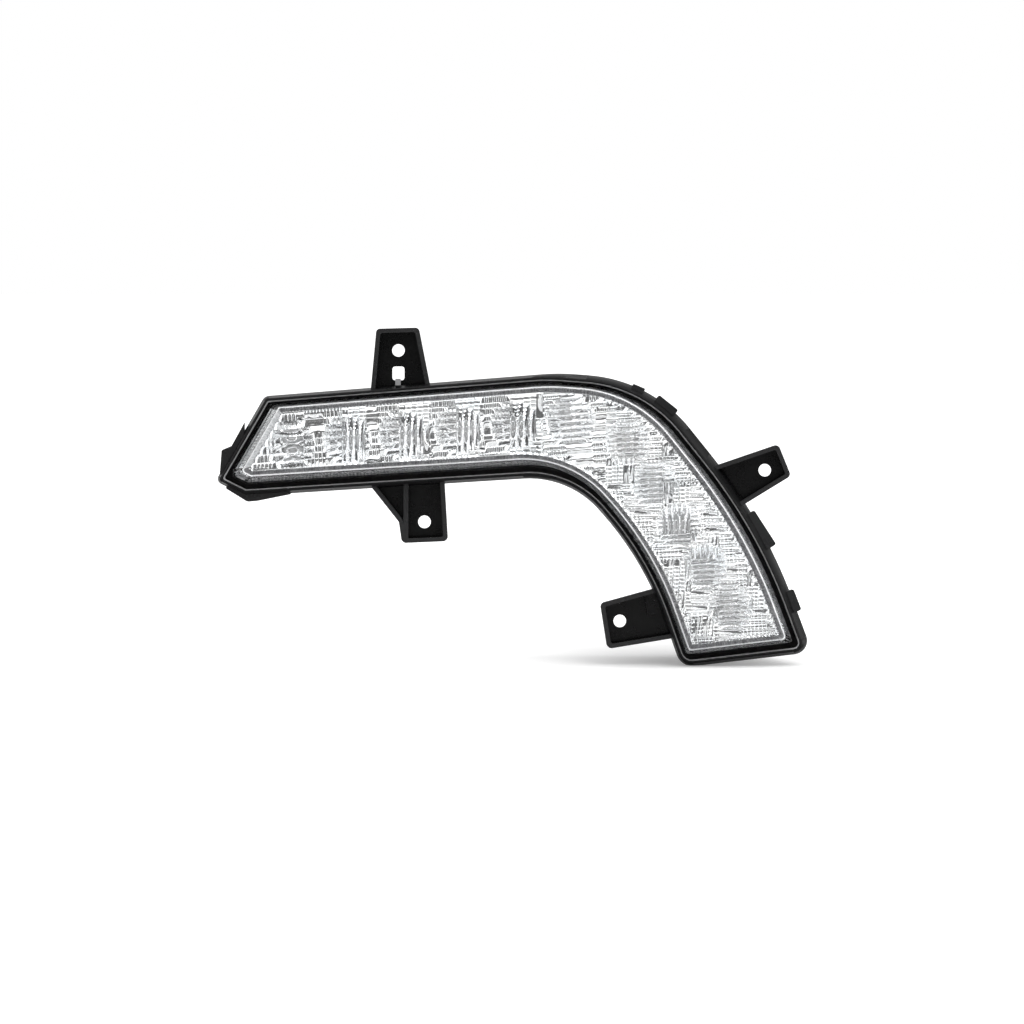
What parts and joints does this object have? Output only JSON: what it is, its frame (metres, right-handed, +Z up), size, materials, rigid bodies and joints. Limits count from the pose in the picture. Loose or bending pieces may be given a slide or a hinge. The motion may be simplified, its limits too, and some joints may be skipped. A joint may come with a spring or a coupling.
{
  "type": "auxiliary driving light",
  "caption": "L-shaped LED driving light for a car bumper: fluted clear lens in a black moulded housing with tray tabs for screws and a connector socket on the back.",
  "frame": {"origin": "centre of the top tab's screw hole, on the back face of the tabs", "axes": "+X along the arm to the right, +Z up, the lens faces -Y"},
  "size_m": [0.305, 0.059, 0.1751],
  "materials": {
    "housing": "fine-grained black moulding",
    "lens": "clear polished moulding with flutes inside",
    "lens_seal": "cured sealant",
    "reflector": "metallised",
    "led_boards": "white solder mask",
    "plates": "plain sheet",
    "leds": "phosphor face",
    "screws": "zinc plated",
    "ribbon": "flat cable",
    "sockets": "moulded",
    "driver_board": "green solder mask",
    "driver_coil": "ferrite",
    "driver_capacitors": "can",
    "driver_chips": "moulded package",
    "board_header": "moulded",
    "terminals": "plated contact",
    "vent_caps": "moulded cap",
    "vent_membranes": "breather film"
  },
  "bodies": {
    "root": {"housing": "housing", "lens": "lens", "lens_seal": "lens_seal", "reflector": "reflector", "arm_board": "led_boards", "leg_board": "led_boards", "arm_plate": "plates", "leg_plate": "plates", "arm_leds": "leds", "leg_leds": "leds", "board_screws": "screws", "link_ribbon": "ribbon", "ribbon_sockets": "sockets", "driver_board": "driver_board", "driver_coil": "driver_coil", "driver_capacitors": "driver_capacitors", "driver_chips": "driver_chips", "driver_screws": "screws", "board_header": "board_header", "terminals": "terminals", "vent_caps": "vent_caps", "vent_membranes": "vent_membranes"}
  },
  "joints": []
}
